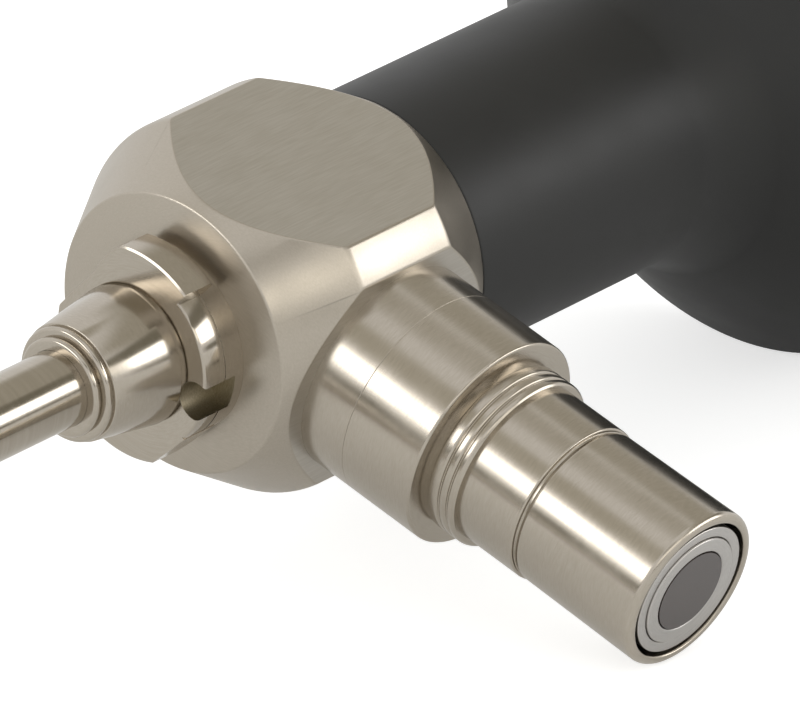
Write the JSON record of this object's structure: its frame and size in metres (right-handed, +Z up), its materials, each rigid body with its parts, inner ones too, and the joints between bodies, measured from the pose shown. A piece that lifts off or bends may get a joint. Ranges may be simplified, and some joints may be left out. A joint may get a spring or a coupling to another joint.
{
  "type": "rigid endoscope",
  "caption": "Rigid rod-lens endoscope: slim steel shaft, bayonet ring, flatted steel body, ringed side light post with a fibre core, and a black flared eyepiece.",
  "frame": {"origin": "centre of the bounding box on the surface it rests on", "axes": "+X runs along the shaft towards the eyepiece, +Z is up, and the light post points towards -Y and down onto the surface"},
  "size_m": [0.2298, 0.0444, 0.0321],
  "materials": {
    "shaft_steel": "fine drawn and polished stainless tube",
    "collar_steel": "turned and polished stainless steel",
    "body_steel": "satin ground stainless steel",
    "post_steel": "turned stainless steel with a fine lathe finish",
    "ferrule_steel": "lapped stainless steel",
    "black_anodised": "matte black anodised aluminium",
    "inner_brass": "plain turned brass",
    "blackened_metal": "blackened to stop stray light",
    "optical_glass": "polished optical glass",
    "glass_fibre": "packed glass fibre, ground and polished at both ends"
  },
  "bodies": {
    "root": {"bayonet_ring": "collar_steel", "body_housing": "body_steel", "distal_window": "optical_glass", "end_sleeve": "post_steel", "eyepiece_coupling": "inner_brass", "eyepiece_housing": "black_anodised", "eyepiece_window": "optical_glass", "fibre_ferrule": "ferrule_steel", "field_stop": "blackened_metal", "inner_sleeve": "post_steel", "lens_tube": "shaft_steel", "lens_tube_guide": "inner_brass", "light_guide_fibres": "glass_fibre", "middle_sleeve": "post_steel", "objective_front_lens": "optical_glass", "objective_rear_lens": "optical_glass", "ocular_barrel": "blackened_metal", "ocular_front_element": "optical_glass", "ocular_rear_element": "optical_glass", "ocular_retaining_ring": "blackened_metal", "outer_shaft_tube": "shaft_steel", "post_collar_nut": "post_steel", "post_socket": "post_steel", "rod_lens_1": "optical_glass", "rod_lens_2": "optical_glass", "rod_lens_3": "optical_glass", "rod_lens_4": "optical_glass", "rod_lens_5": "optical_glass", "rod_lens_6": "optical_glass", "rod_spacer_1": "blackened_metal", "rod_spacer_2": "blackened_metal", "rod_spacer_3": "blackened_metal", "rod_spacer_4": "blackened_metal", "rod_spacer_5": "blackened_metal", "rod_spacer_6": "blackened_metal", "shaft_collar": "collar_steel", "window_retaining_ring": "black_anodised"}
  },
  "joints": []
}
